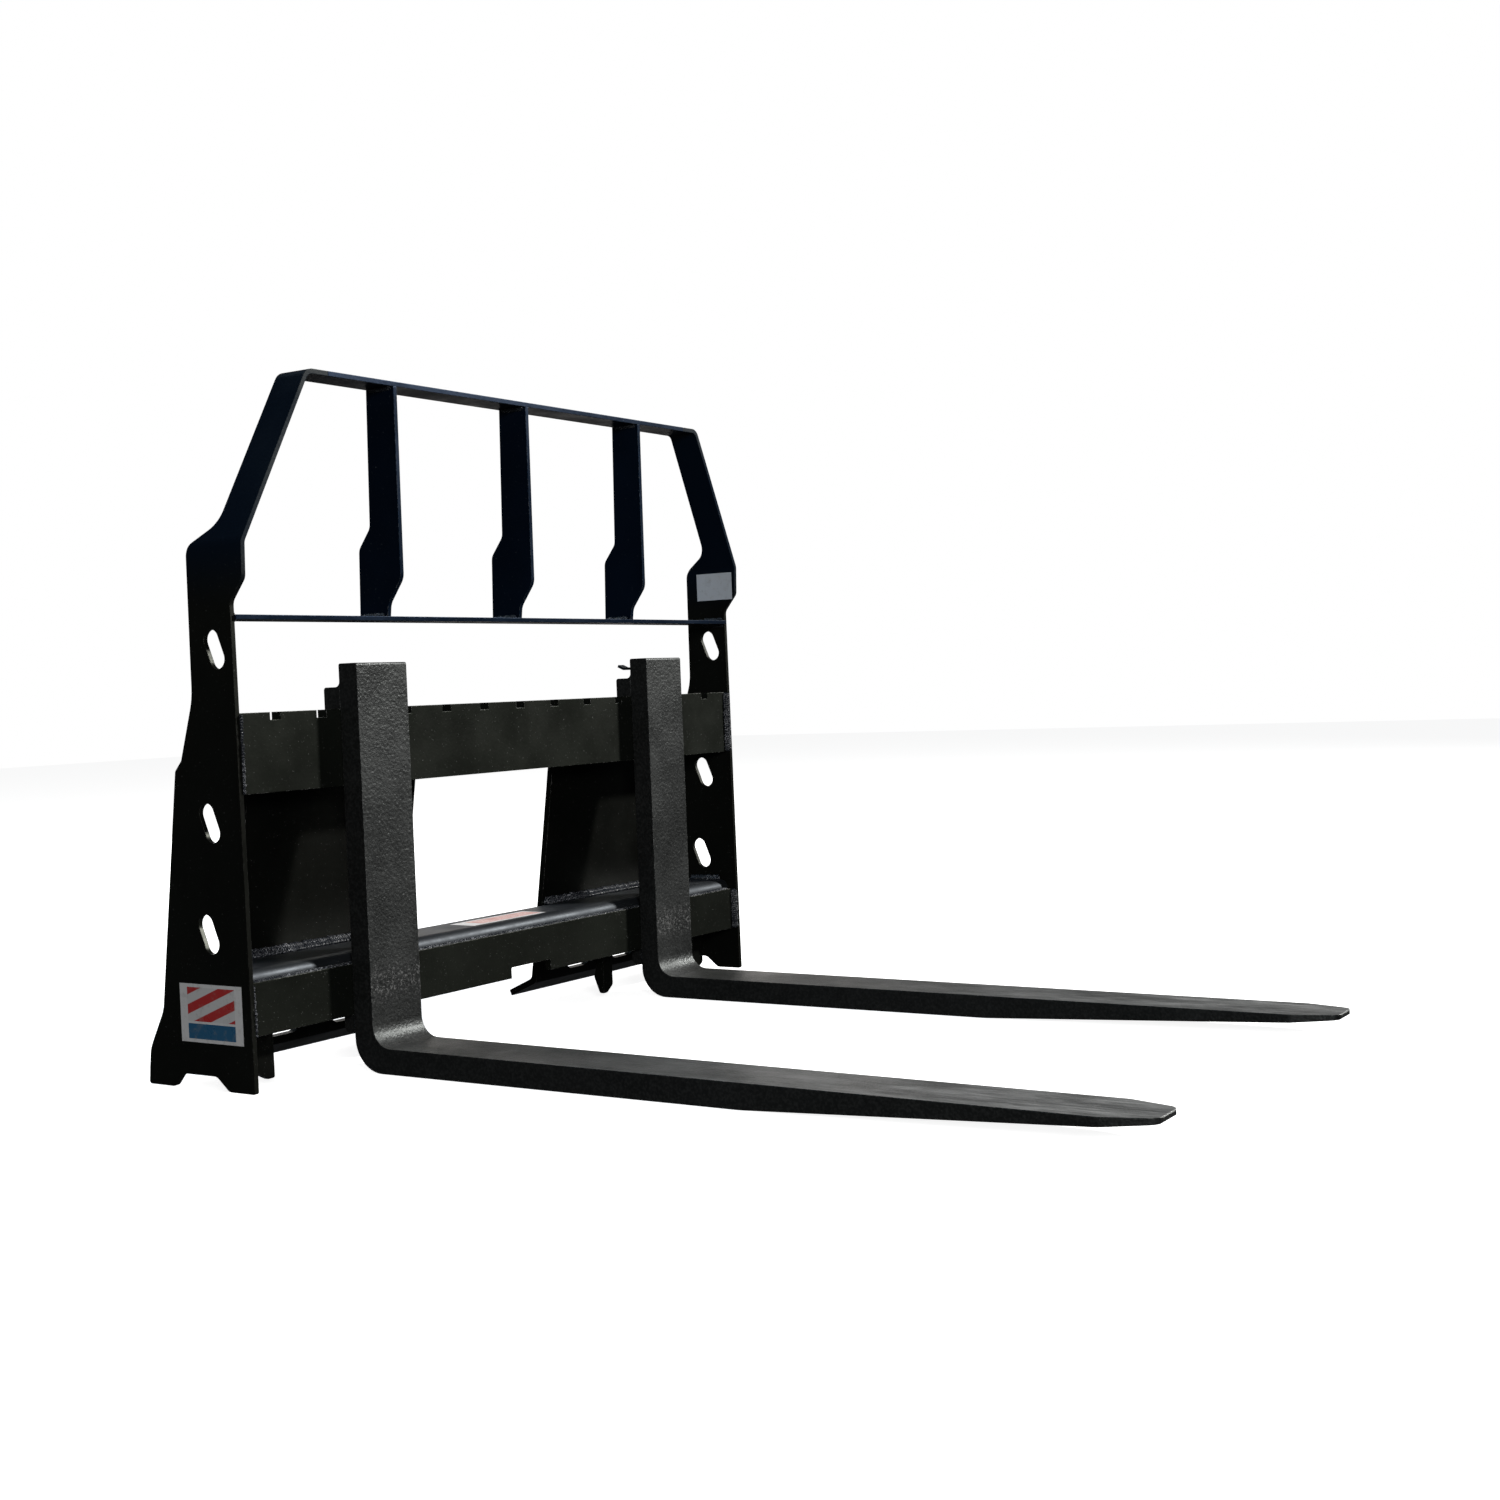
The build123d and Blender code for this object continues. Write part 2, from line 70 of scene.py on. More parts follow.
# ---- light ----
LIT_POINT = Vector((0.0, 0.2, 0.4))
FLOOR_GLOW = 0.9
FLOOR_REACH = 14.0
ROOM_LIGHT = 0.04

# ---- fork wear, and the painted sheen on the blade's top, in metres; each pair is where the mark starts and where it is full ----
BLADE_HEIGHTS = (0.10, 0.05)     # the blade's top face and nothing above it
TIP_DISTANCES = (0.15, 1.05)     # from the rail towards the tip
HEEL_BAND_TOP = (0.155, 0.12)
HEEL_BAND_BOTTOM = (0.085, 0.11)
SHANK_HEAD = (0.46, 0.56)

# ---- weld beads: leg lengths in metres ----
RAIL_BEAD = 0.0075
PLATE_BEAD = 0.007               # rear of the upper rail and top of the tube
TUBE_REAR_BEAD = 0.0035
SEAM_BEAD = 0.0042
SEAM_WIDTH = 0.9                 # share of the leg, forwards
SEAM_RISE = 0.6                  # share of the leg, upwards
HITCH_TOP_BEAD = 0.0098
HITCH_SIDE_BEAD = 0.008
UPRIGHT_BEAD = 0.0045
GUARD_BAR_BEAD = 0.005
BRACKET_BEAD = 0.0045
HOOK_BEAD = 0.004
HITCH_SIDE_RUNS = (              # lowest and highest point of the run, and the faces it is on
    (0.398, 0.44, "front and rear"),
    (0.06, 0.15, "rear"),
)

# ---- shape of every bead ----
RIPPLE = 0.0036                  # length of one ripple
STEPS_PER_RIPPLE = 4
FEWEST_STEPS = 6
BEAD_ARC = 6                     # faces across the bead
RIPPLE_JITTER = (-0.12, 0.14)    # each ripple's size differs by a share in this range
RIPPLE_HEIGHT = 0.16             # share of the leg
END_SIZE = 0.25                  # share of the leg
HOLLOW = 0.72                    # size halfway round the arc, as a share of the leg
ROOT_DEPTH = 0.0004              # the bead's hidden corner lies this far inside the steel
MIRROR_SEED = 50                 # added to the seed of a mirrored bead

Bead = namedtuple("Bead", "start end side_a side_b leg seed")


# ================================================================ node helper

class Nodes:
    """Builds a node tree in short lines."""

    def __init__(self, name):
        self.material = bpy.data.materials.new(name)
        self.material.use_nodes = True
        self.tree = self.material.node_tree
        self.shader = self.tree.nodes["Principled BSDF"]
        self.coords = self.add("ShaderNodeTexCoord").outputs["Object"]
        self.normal = self.add("ShaderNodeNewGeometry").outputs["Normal"]

    def add(self, kind, **settings):
        node = self.tree.nodes.new(kind)
        for key, value in settings.items():
            setattr(node, key, value)
        return node

    def link(self, source, target):
        """Feed an input from a socket, or set it to a plain value."""
        if isinstance(source, (int, float, tuple)):
            target.default_value = source
        else:
            self.tree.links.new(source, target)

    def noise(self, scale, detail=3.0, rough=0.5, stretch=(1, 1, 1), offset=(0, 0, 0)):
        """Noise from 0 to 1, fixed to the object's own coordinates."""
        mapping = self.add("ShaderNodeMapping")
        mapping.inputs["Scale"].default_value = stretch
        mapping.inputs["Location"].default_value = offset
        self.link(self.coords, mapping.inputs["Vector"])
        node = self.add("ShaderNodeTexNoise")
        node.inputs["Scale"].default_value = scale
        node.inputs["Detail"].default_value = detail
        node.inputs["Roughness"].default_value = rough
        self.link(mapping.outputs["Vector"], node.inputs["Vector"])
        return node.outputs["Fac"]

    def math(self, operation, a, b=0.0, clamp=False):
        node = self.add("ShaderNodeMath", operation=operation, use_clamp=clamp)
        self.link(a, node.inputs[0])
        self.link(b, node.inputs[1])
        return node.outputs[0]

    def ramp(self, value, low, high, out_low=0.0, out_high=1.0):
        """A smooth step: out_low where the value is low, out_high where it is high."""
        node = self.add("ShaderNodeMapRange", interpolation_type="SMOOTHSTEP")
        self.link(value, node.inputs["Value"])
        node.inputs["From Min"].default_value = low
        node.inputs["From Max"].default_value = high
        node.inputs["To Min"].default_value = out_low
        node.inputs["To Max"].default_value = out_high
        return node.outputs["Result"]

    def mix(self, fac, a, b):
        node = self.add("ShaderNodeMix", data_type="RGBA")
        self.link(fac, node.inputs["Factor"])
        self.link(a, node.inputs["A"])
        self.link(b, node.inputs["B"])
        return node.outputs["Result"]

    def axis(self, vector, index):
        """One coordinate of a vector."""
        node = self.add("ShaderNodeSeparateXYZ")
        self.link(vector, node.inputs[0])
        return node.outputs[index]

    def rounded_normal(self, radius):
        """The surface normal with its edges rounded over a radius."""
        node = self.add("ShaderNodeBevel", samples=6)
        node.inputs["Radius"].default_value = radius
        return node.outputs["Normal"]

    def edge(self, radius):
        """1 on sharp edges, 0 on flat surfaces."""
        node = self.add("ShaderNodeVectorMath", operation="DOT_PRODUCT")
        self.link(self.rounded_normal(radius), node.inputs[0])
        self.link(self.normal, node.inputs[1])
        return self.math("SUBTRACT", 1.0, node.outputs["Value"])

    def bump(self, height, strength, distance, normal=None):
        node = self.add("ShaderNodeBump")
        node.inputs["Strength"].default_value = strength
        node.inputs["Distance"].default_value = distance
        self.link(height, node.inputs["Height"])
        if normal is not None:
            self.link(normal, node.inputs["Normal"])
        return node.outputs["Normal"]

    def set_colour(self, source):
        self.link(source, self.shader.inputs["Base Color"])

    def colour(self):
        """The socket that feeds the base colour so far."""
        return self.shader.inputs["Base Color"].links[0].from_socket


def grey(value, tint=(1.0, 1.0, 1.0)):
    return (value * tint[0], value * tint[1], value * tint[2], 1.0)


# ---- tints and colours ----
OLIVE = (0.94, 1.0, 0.84)
# colour of the painted sky reflection on the side plates' upward-facing upper part
SKY_REFLECTION_BLUE = (0.12, 0.8, 2.2)
DUST = grey(0.22, (0.97, 1.0, 0.98))
SCRATCH = grey(0.16)
BARE_EDGE = grey(0.30, (1.0, 1.0, 0.97))
RUST = grey(0.08, (1.0, 0.8, 0.6))


# ================================================================ materials

def paint(name, base, tint, gloss, roughness, peel_scale, peel, wear, dust,
          edge_radius=0.0012, clouds=1.0, speckle=0.0):
    """Paint over steel: tone clouds, mottle, dust, scratches, worn edges and orange peel."""
    n = Nodes(name)
    n.shader.inputs["Specular IOR Level"].default_value = gloss
    n.shader.inputs["Specular Tint"].default_value = grey(1.0, tint)
    tone = n.ramp(n.noise(4.5, 4.0, 0.6), 0.3, 0.7)
    darker = grey(base * (1 - 0.25 * clouds), tint)
    lighter = grey(base * (1 + 0.3 * clouds), tint)
    colour = n.mix(tone, darker, lighter)
    mottle = n.ramp(n.noise(peel_scale * 1.3, 2.0, 0.6), 0.42, 0.66)
    colour = n.mix(n.math("MULTIPLY", mottle, speckle), colour, grey(base * 3.0, tint))
    specks = n.ramp(n.noise(420.0, 2.0, 0.6), 0.69, 0.76)
    colour = n.mix(n.math("MULTIPLY", specks, dust), colour, DUST)
    scratches = n.ramp(n.noise(60.0, 5.0, 0.75, (1.0, 8.0, 0.35), (3, 1, 7)), 0.68, 0.74)
    colour = n.mix(n.math("MULTIPLY", scratches, dust * 0.6), colour, SCRATCH)
    chips = n.ramp(n.noise(150.0, 5.0, 0.7), 0.47, 0.6)
    worn = n.math("MULTIPLY", n.ramp(n.edge(edge_radius), 0.05, 0.25), chips)
    worn = n.math("MULTIPLY", worn, wear, clamp=True)
    n.set_colour(n.mix(worn, colour, BARE_EDGE))
    patches = n.ramp(n.noise(9.0, 5.0, 0.65, offset=(2, 5, 1)), 0.3, 0.75, -0.07, 0.12)
    dull = n.math("ADD", patches, roughness)
    dull = n.math("ADD", dull, n.math("MULTIPLY", specks, 0.25), clamp=True)
    n.link(dull, n.shader.inputs["Roughness"])
    skin = n.noise(peel_scale, 3.0, 0.55)
    normal = n.bump(skin, min(peel, 1.0), 0.0006 * max(peel, 1.0), n.rounded_normal(edge_radius))
    normal = n.bump(n.noise(6.0, 2.0, 0.5), 0.08, 0.004, normal)
    n.link(normal, n.shader.inputs["Normal"])
    return n


def plate_paint():
    """Side plate paint: warm black, with a painted reflection of the blue sky on the bent-in upper part,
    which faces upwards.
    """
    n = paint("plate_paint", base=0.0045, tint=OLIVE, gloss=0.13, roughness=0.36,
              peel_scale=240.0, peel=0.22, wear=0.18, dust=0.3)
    height = n.axis(n.coords, Z)
    sky_reflection = n.ramp(height, SHOULDER_HEIGHT - 0.09, SHOULDER_HEIGHT + 0.02)
    # painted reflection: the blue sky mirrored on the upward-facing part above the shoulder, painted as
    # colour
    n.set_colour(n.mix(n.math("MULTIPLY", sky_reflection, 0.9), n.colour(), grey(0.006, SKY_REFLECTION_BLUE)))
    return n.material


def rail_paint():
    """Warm black, with the most worn edges of all."""
    n = paint("rail_paint", base=0.006, tint=(0.88, 1.0, 0.8), gloss=0.10, roughness=0.40,
              peel_scale=260.0, peel=0.30, wear=1.4, dust=0.5)
    return n.material


def guard_paint():
    """Smooth blue-black."""
    n = paint("guard_paint", base=0.005, tint=(0.35, 0.85, 1.9), gloss=0.09, roughness=0.34,
              peel_scale=230.0, peel=0.20, wear=0.55, dust=0.25)
    return n.material


def hitch_paint():
    """The darkest black, with dust."""
    n = paint("hitch_paint", base=0.003, tint=OLIVE, gloss=0.11, roughness=0.36,
              peel_scale=210.0, peel=0.25, wear=0.6, dust=0.4)
    return n.material


def tube_paint():
    """A paler, duller and dustier black."""
    n = paint("tube_paint", base=0.010, tint=(0.85, 0.96, 1.1), gloss=0.32, roughness=0.48,
              peel_scale=250.0, peel=0.3, wear=0.4, dust=0.6)
    return n.material


def lever_paint():
    """Glossy black, rubbed at its thin edges."""
    n = paint("lever_paint", base=0.01, tint=(0.8, 0.95, 1.15), gloss=0.4, roughness=0.35,
              peel_scale=400.0, peel=0.25, wear=1.0, dust=0.4, edge_radius=0.0006)
    return n.material


def fork_paint(name, shift):
    """Satin fork paint with coarse orange peel, rubbed and given a painted sheen on top of the blade, and
    chipped above the heel.

    The shift moves the wear and sheen pattern, so that the two forks differ.
    """
    n = paint(name, base=0.006, tint=(0.97, 1.0, 0.985), gloss=0.42, roughness=0.42,
              peel_scale=250.0, peel=1.6, wear=0.6, dust=0.2,
              edge_radius=0.0018, clouds=0.4, speckle=0.9)
    n.shader.inputs["Specular Tint"].default_value = (0.93, 1.0, 1.0, 1.0)
    height = n.axis(n.coords, Z)
    rubbed_and_sheen = sheen_and_rubbing_on_blade(n, height, shift)
    marks = shank_marks(n, height, shift)
    # lighter grey on the blade's top face: rubbed paint together with a painted sheen of the light falling on
    # it
    colour = n.mix(n.math("MULTIPLY", rubbed_and_sheen, 0.85), n.colour(), grey(0.34, (1.0, 1.0, 0.99)))
    n.set_colour(n.mix(n.math("MULTIPLY", marks, 0.6, clamp=True), colour, grey(0.20)))
    return n.material


def sheen_and_rubbing_on_blade(n, height, shift):
    """How far the blade's top face is rubbed bare and carries a painted sheen of the light on it: streaky,
    cloudy, and more towards the tip.
    """
    facing_up = n.ramp(n.axis(n.normal, Z), 0.6, 0.95)
    on_blade = n.math("MULTIPLY", facing_up, n.ramp(height, *BLADE_HEIGHTS))
    streaks = n.ramp(n.noise(26.0, 6.0, 0.7, (9.0, 0.5, 1.0), (shift, 0, 0)), 0.34, 0.72, 0.35, 1.0)
    near, far = TIP_DISTANCES
    toward_tip = n.ramp(n.axis(n.coords, Y), RAIL_FRONT_Y - near, RAIL_FRONT_Y - far, 0.12, 1.0)
    cloudy = n.ramp(n.noise(7.0, 5.0, 0.65, (3.0, 1.0, 1.0), (shift, 2, 0)), 0.35, 0.65, 0.35, 1.0)
    rubbed_and_sheen = n.math("MULTIPLY", on_blade, streaks)
    rubbed_and_sheen = n.math("MULTIPLY", rubbed_and_sheen, toward_tip)
    return n.math("MULTIPLY", rubbed_and_sheen, cloudy)


def shank_marks(n, height, shift):
    """Chips in a band above the heel and faint scuffs near the shank's top, on the front face only."""
    facing_front = n.ramp(n.axis(n.normal, Y), -0.5, -0.9)
    band = n.math("MULTIPLY", n.ramp(height, *HEEL_BAND_TOP), n.ramp(height, *HEEL_BAND_BOTTOM))
    chips = n.ramp(n.noise(280.0, 5.0, 0.75, offset=(shift, 0, 3)), 0.53, 0.62)
    chips = n.math("MULTIPLY", band, chips)
    scuffs = n.ramp(n.noise(34.0, 5.0, 0.7), 0.55, 0.75)
    scuffs = n.math("MULTIPLY", n.ramp(height, *SHANK_HEAD), scuffs)
    return n.math("MULTIPLY", facing_front, n.math("ADD", chips, n.math("MULTIPLY", scuffs, 0.35)))


def steel(name, value, roughness):
    """Bare steel with fine scratches and a few rusty stains."""
    n = Nodes(name)
    tint = (1.0, 0.99, 0.96)
    tone = n.noise(60.0, 4.0, 0.6)
    colour = n.mix(n.ramp(tone, 0.3, 0.7), grey(value * 0.7, tint), grey(value * 1.2, tint))
    stain = n.ramp(n.noise(120.0, 4.0, 0.7), 0.6, 0.72)
    n.set_colour(n.mix(n.math("MULTIPLY", stain, 0.5), colour, RUST))
    n.shader.inputs["Metallic"].default_value = 0.9
    n.link(n.ramp(tone, 0.2, 0.8, roughness - 0.08, roughness + 0.12), n.shader.inputs["Roughness"])
    scratches = n.bump(n.noise(900.0, 3.0, 0.6), 0.3, 0.0002, n.rounded_normal(0.0006))
    n.link(scratches, n.shader.inputs["Normal"])
    return n.material


def weld_paint():
    """Paint over a weld bead: glossier, with patches of pale specks that are partly spatter and partly
    painted glints.
    """
    n = Nodes("weld_paint")
    n.shader.inputs["Specular IOR Level"].default_value = 0.22
    spots = n.ramp(n.noise(560.0, 3.0, 0.6), 0.54, 0.62)
    patches = n.ramp(n.noise(16.0), 0.4, 0.6, 0.15, 1.0)
    spatter_and_glints = n.math("MULTIPLY", spots, patches)
    black = grey(0.012, (0.8, 0.97, 1.3))
    pale = grey(0.42, (0.95, 0.98, 1.05))
    # pale specks: real spatter together with painted glints of light on the bead
    n.set_colour(n.mix(n.math("MULTIPLY", spatter_and_glints, 0.7), black, pale))
    n.link(n.ramp(n.noise(140.0), 0.3, 0.7, 0.18, 0.42), n.shader.inputs["Roughness"])
    n.link(n.bump(n.noise(700.0, 3.0, 0.6), 0.5, 0.0005), n.shader.inputs["Normal"])
    return n.material


def label_sheet(node, across, up):
    """A blank label's nodes and its two coordinates, each 0 to 1 between the node's own borders."""
    n = Nodes(node + "_vinyl")
    low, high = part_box(node)
    places = []
    for axis in (across, up):
        place = n.math("SUBTRACT", n.axis(n.coords, axis), low[axis])
        places.append(n.math("DIVIDE", place, high[axis] - low[axis]))
    return n, places[0], places[1]


def panel(n, across, up, left, right, bottom, top):
    """1 inside a plain rectangle of the label, 0 outside it."""
    wide = n.math("MULTIPLY", n.math("GREATER_THAN", across, left), n.math("LESS_THAN", across, right))
    tall = n.math("MULTIPLY", n.math("GREATER_THAN", up, bottom), n.math("LESS_THAN", up, top))
    return n.math("MULTIPLY", wide, tall)


def stripes(n, place, count):
    """Even stripes along a coordinate, half of each one filled."""
    wave = n.math("SINE", n.math("MULTIPLY", place, count * 2 * math.pi))
    return n.ramp(wave, -0.15, 0.15)


def finish_label(n, colour, grime):
    """Dirt over the label's colours, a worn rim and a slight unevenness."""
    dirt = n.ramp(n.noise(90.0, 5.0, 0.7), 0.5, 0.75)
    colour = n.mix(n.math("MULTIPLY", dirt, grime), colour, grey(0.25, (1.0, 0.95, 0.85)))
    rim = n.ramp(n.edge(0.0008), 0.05, 0.25)
    n.set_colour(n.mix(n.math("MULTIPLY", rim, 0.5), colour, grey(0.2)))
    n.link(n.ramp(n.noise(40.0), 0.3, 0.7, 0.25, 0.45), n.shader.inputs["Roughness"])
    n.link(n.bump(n.noise(220.0), 0.15, 0.0003), n.shader.inputs["Normal"])
    return n.material


def side_label():
    """White border, slanted red stripes and a plain blue foot."""
    n, across, up = label_sheet("label_side", Y, Z)
    slant = n.math("ADD", up, n.math("MULTIPLY", across, 0.6))
    field = n.mix(stripes(n, slant, 3.0), grey(0.55), (0.42, 0.03, 0.03, 1.0))
    striped = panel(n, across, up, left=0.12, right=0.88, bottom=0.36, top=0.94)
    foot = panel(n, across, up, left=0.12, right=0.88, bottom=0.06, top=0.32)
    colour = n.mix(striped, grey(0.62), field)
    colour = n.mix(foot, colour, (0.02, 0.10, 0.20, 1.0))
    return finish_label(n, colour, 0.4)


def rating_label():
    """Pale field with grey rules."""
    n, across, up = label_sheet("label_rating", X, Z)
    rules = n.math("MULTIPLY", stripes(n, up, 5.0), 0.45)
    field = n.mix(rules, grey(0.45, (0.86, 0.95, 1.1)), grey(0.16, (0.9, 0.95, 1.1)))
    inside = panel(n, across, up, left=0.06, right=0.94, bottom=0.12, top=0.88)
    colour = n.mix(inside, grey(0.6, (0.9, 0.97, 1.05)), field)
    return finish_label(n, colour, 0.35)


def tube_label():
    """White border round a faded red field with pale rules."""
    n, across, up = label_sheet("label_tube", X, Y)
    field = grey(0.5, (1.0, 0.34, 0.28))
    inside = panel(n, across, up, left=0.16, right=0.97, bottom=0.12, top=0.88)
    ruled = panel(n, across, up, left=0.2, right=0.93, bottom=0.12, top=0.88)
    colour = n.mix(inside, grey(0.6), field)
    rules = n.math("MULTIPLY", stripes(n, up, 5.0), ruled)
    colour = n.mix(n.math("MULTIPLY", rules, 0.35), colour, grey(0.6))
    return finish_label(n, colour, 0.4)


def finish(node, material):
    """Give a CAD node its material."""
    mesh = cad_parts[node].data
    mesh.materials.clear()
    mesh.materials.append(material)


def colour_the_frame():
    """Paint the welded frame and the latches, by how the node's name starts."""
    rails = rail_paint()
    hitch = hitch_paint()
    pin = steel("pin_steel", 0.42, 0.3)
    materials = (
        ("side_plate", plate_paint()),
        ("guard", guard_paint()),
        ("fork_rail", rails),
        ("lower_front_bar", rails),
        ("lower_tube", tube_paint()),
        ("hitch", hitch),
        ("rail_spacers", hitch),
        ("latch_pin", pin),
        ("latch_bush", pin),
        ("latch_spring", steel("spring_steel", 0.22, 0.35)),
        ("latch_handle", lever_paint()),
    )
    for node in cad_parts:
        for start, material in materials:
            if node.startswith(start):
                finish(node, material)


def colour_the_forks():
    """Paint each fork and its hooks, with the wear in different places."""
    for side, shift in (("left", 0.0), ("right", 4.0)):
        material = fork_paint(f"fork_paint_{side}", shift)
        for node in (f"fork_{side}", f"upper_hook_{side}", f"lower_hook_{side}"):
            finish(node, material)


def colour_the_labels():
    """Give the three labels their blank faces."""
    finish("label_side", side_label())
    finish("label_rating", rating_label())
    finish("label_tube", tube_label())


# ================================================================ pieces

def mesh_piece(name, points, faces, material, body):
    """A smooth mesh of our own that rides on a body."""
    mesh = bpy.data.meshes.new(name)
    mesh.from_pydata(points, [], faces)
    mesh.polygons.foreach_set("use_smooth", [True] * len(mesh.polygons))
    mesh.materials.append(material)
    mesh.validate()
    mesh.update()
    piece = bpy.data.objects.new(name, mesh)
    bpy.context.scene.collection.objects.link(piece)
    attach(piece, body)


def bead_ring(bead, centre, size, drift):
    """Points across a bead: an arc whose middle drifts back along the bead, and a hidden corner."""
    points = []
    for k in range(BEAD_ARC + 1):
        turn = k / BEAD_ARC * math.pi / 2
        reach = size * (HOLLOW + (1 - HOLLOW) * abs(math.cos(2 * turn)))
        offset = bead.side_a * math.cos(turn) * reach + bead.side_b * math.sin(turn) * reach
        points.append(centre + offset - drift * math.sin(2 * turn))
    points.append(centre - (bead.side_a + bead.side_b) * ROOT_DEPTH)
    return points


def bead_points(bead):
    """Rings of points along one bead, and how many steps there are between them."""
    chance = random.Random(bead.seed)
    length = (bead.end - bead.start).length
    count = max(int(length / RIPPLE * STEPS_PER_RIPPLE), FEWEST_STEPS)
    along = (bead.end - bead.start) / count
    points = []
    jitter = 0.0
    for i in range(count + 1):
        phase = (i % STEPS_PER_RIPPLE) / STEPS_PER_RIPPLE
        if i % STEPS_PER_RIPPLE == 0:
            jitter = chance.uniform(*RIPPLE_JITTER)
        end_fade = min(1.0, END_SIZE + min(i, count - i) / STEPS_PER_RIPPLE)
        size = bead.leg * end_fade * (1.0 + jitter + RIPPLE_HEIGHT * math.sin(math.pi * phase))
        at_an_end = i in (0, count)
        drift = along * STEPS_PER_RIPPLE * (0.0 if at_an_end else 0.5)
        points += bead_ring(bead, bead.start + along * i, size, drift)
    return points, count


def bead_mesh(beads):
    """Points and faces of several rippled fillet beads."""
    ring = BEAD_ARC + 2
    points = []
    faces = []
    for bead in beads:
        first = len(points)
        new_points, count = bead_points(bead)
        points += new_points
        for i in range(count):
            for k in range(ring):
                a = first + i * ring + k
                b = first + i * ring + (k + 1) % ring
                faces.append((a, b, b + ring, a + ring))
        faces.append(tuple(first + k for k in reversed(range(ring))))
        faces.append(tuple(first + count * ring + k for k in range(ring)))
    return points, faces


def weld(name, beads, material, body="frame"):
    """One mesh of beads on a body, with the given material."""
    points, faces = bead_mesh(beads)
    mesh_piece(name, points, faces, material, body)


def both_sides(bead):
    """A bead and its mirror image across the attachment's middle."""
    flip = Vector((-1, 1, 1))
    mirrored = Bead(bead.start * flip, bead.end * flip, bead.side_a * flip, bead.side_b * flip,
                    bead.leg, bead.seed + MIRROR_SEED)
    return [bead, mirrored]


def rail_welds(material):
    """Beads where the two rails and the tube meet the side plates."""
    beads = []
    for seed, (low, high) in enumerate((RAIL, LOW_BAR), start=1):
        corner = Vector((INNER_X, low.y, 0))
        beads += both_sides(Bead(corner + UP * low.z, corner + UP * high.z,
                                 -RIGHT, -REAR, RAIL_BEAD, seed))
    low, high = RAIL
    corner = Vector((INNER_X, high.y, 0))
    beads += both_sides(Bead(corner + UP * low.z, corner + UP * high.z, -RIGHT, REAR, PLATE_BEAD, 5))
    low, high = TUBE
    corner = Vector((INNER_X, high.y, 0))
    beads += both_sides(Bead(corner + UP * (low.z + TUBE_RADIUS), corner + UP * (high.z - TUBE_RADIUS),
                             -RIGHT, REAR, TUBE_REAR_BEAD, 6))
    corner = Vector((INNER_X, 0, high.z))
    beads += both_sides(Bead(corner + REAR * (low.y + TUBE_RADIUS), corner + REAR * (high.y - TUBE_RADIUS),
                             -RIGHT, UP, PLATE_BEAD, 8))
    weld("weld_rail_ends", beads, material)


def low_bar_seam(material):
    """Low rough seam between the lower rail's top edge and the tube's rounding."""
    end_gap = 0.01
    inset = 0.006
    depth = LOW_BAR[0].y + inset
    height = LOW_BAR[1].z
    start = Vector((-INNER_X + end_gap, depth, height))
    end = Vector((INNER_X - end_gap, depth, height))
    weld("weld_low_bar_seam", [Bead(start, end, -REAR * SEAM_WIDTH, UP * SEAM_RISE, SEAM_BEAD, 11)], material)


def hitch_face_y(height):
    """Depth of the hitch plate's front face at a height, on the plate's straight middle."""
    knee_y, knee_z = HITCH_KNEE
    head_y, head_z = HITCH_HEAD
    share = (height - knee_z) / (head_z - knee_z)
    return RAIL_FRONT_Y + knee_y + share * (head_y - knee_y)


def hitch_welds(material):
    """Beads between the hitch plates, the tube's top and the side plates."""
    end_gap = 0.004
    top = TUBE[1].z
    face = hitch_face_y(top)
    inner = Vector((HITCH[0].x + end_gap, face, top))
    outer = Vector((INNER_X - end_gap, face, top))
    beads = both_sides(Bead(inner, outer, -REAR, UP, HITCH_TOP_BEAD, 21))
    for seed, (low, high, faces) in enumerate(HITCH_SIDE_RUNS):
        start = Vector((INNER_X, hitch_face_y(low), low))
        end = Vector((INNER_X, hitch_face_y(high), high))
        if "front" in faces:
            beads += both_sides(Bead(start, end, -RIGHT, -REAR, HITCH_SIDE_BEAD, 30 + seed))
        behind = REAR * HITCH_DEPTH
        beads += both_sides(Bead(start + behind, end + behind, -RIGHT, REAR, HITCH_SIDE_BEAD, 40 + seed))
    weld("weld_hitch_plates", beads, material)


def guard_welds(material):
    """Small fillets at the uprights' ends and at the ends of the guard's lower bar."""
    edge_gap = 0.004
    foot_gap = 0.005
    corner_gap = 0.006
    bar_front = GUARD_BAR[0].y
    bar_rear = GUARD_BAR[1].y - edge_gap
    top_front = TOP_BAR[0].y + edge_gap
    top_rear = TOP_BAR[1].y - edge_gap
    beads = []
    for seed, name in enumerate(("left", "centre", "right")):
        low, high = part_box(f"guard_upright_{name}")
        for side, x in ((-RIGHT, low.x), (RIGHT, high.x)):
            foot = Vector((x, 0, GUARD_BAR[1].z))
            beads.append(Bead(foot + REAR * (bar_front + foot_gap), foot + REAR * bar_rear,
                              side, UP, UPRIGHT_BEAD, 60 + seed))
            head = Vector((x, 0, TOP_BAR[0].z))
            beads.append(Bead(head + REAR * top_front, head + REAR * top_rear,
                              side, -UP, UPRIGHT_BEAD, 66 + seed))
    for level, direction, seed in ((GUARD_BAR[1].z, UP, 72), (GUARD_BAR[0].z, -UP, 74)):
        end = Vector((INNER_X, 0, level))
        beads += both_sides(Bead(end + REAR * (bar_front + corner_gap), end + REAR * bar_rear,
                                 -RIGHT, direction, GUARD_BAR_BEAD, seed))
    weld("weld_guard", beads, material)


